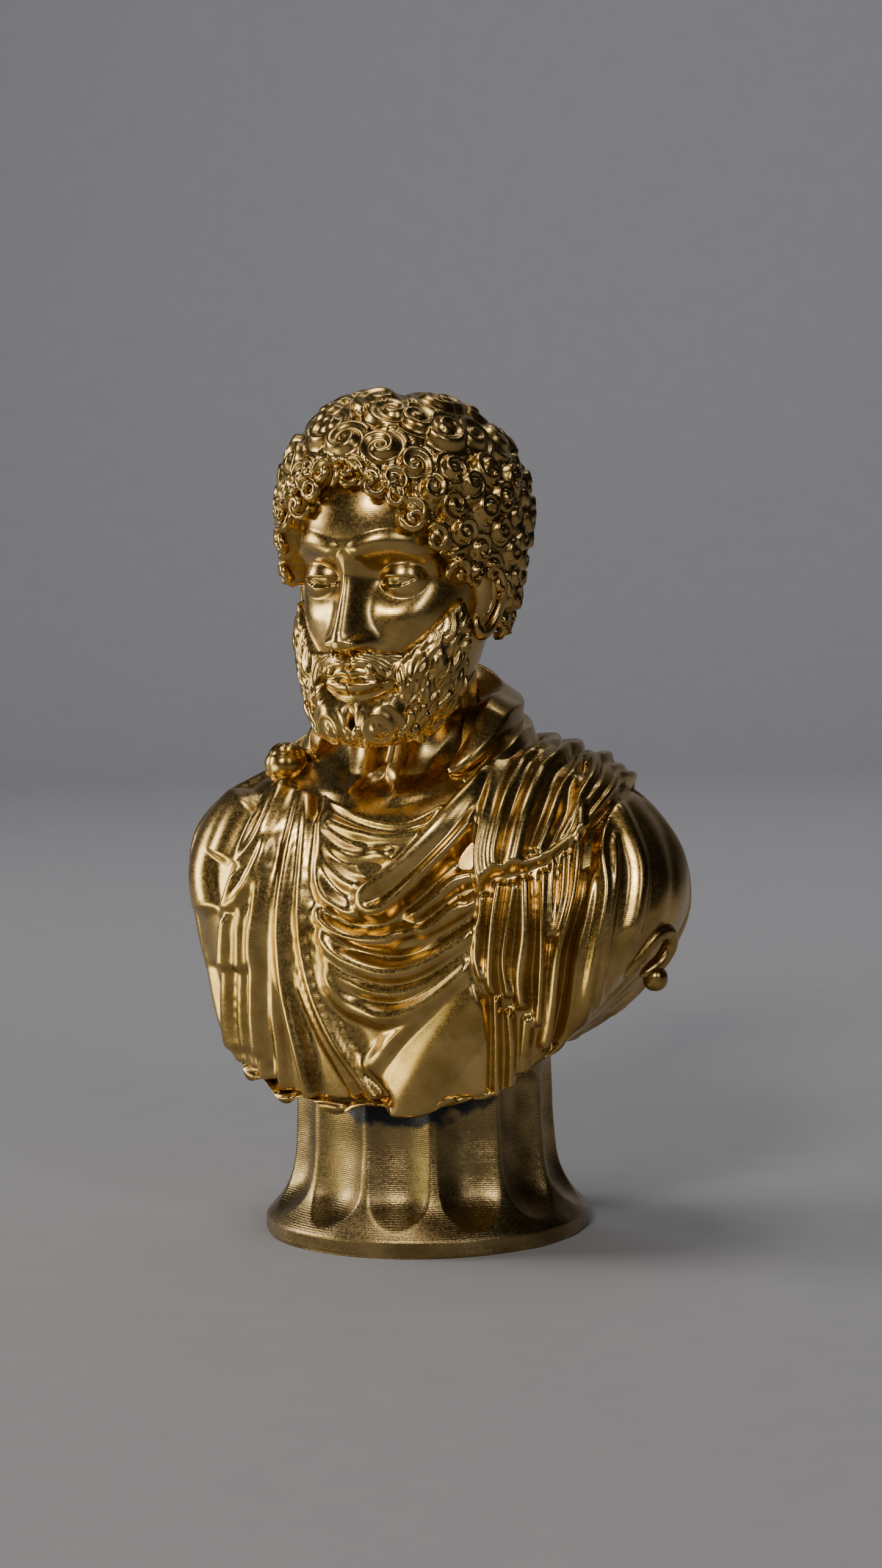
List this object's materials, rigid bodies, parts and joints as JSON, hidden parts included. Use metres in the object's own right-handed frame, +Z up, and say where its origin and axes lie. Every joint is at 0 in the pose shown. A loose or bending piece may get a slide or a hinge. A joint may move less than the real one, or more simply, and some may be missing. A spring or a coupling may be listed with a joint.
{
  "type": "roman emperor bust",
  "caption": "small draped figure bust with curled hair and beard, a shoulder brooch and a round fluted socle that flares to a flat foot, for standing on a desk or shelf",
  "frame": {"origin": "centre of the socle's flat underside, on the surface that the bust stands on", "axes": "+Z up, the figure's chest faces -Y, the figure's left arm is at +X"},
  "size_m": [0.0743, 0.0475, 0.1192],
  "materials": {
    "bust": "bright metallic gold spray paint over printed plastic",
    "socle": "dull grainy metallic gold spray paint over printed plastic"
  },
  "bodies": {
    "root": {"bust": "bust", "socle": "socle"}
  },
  "joints": []
}
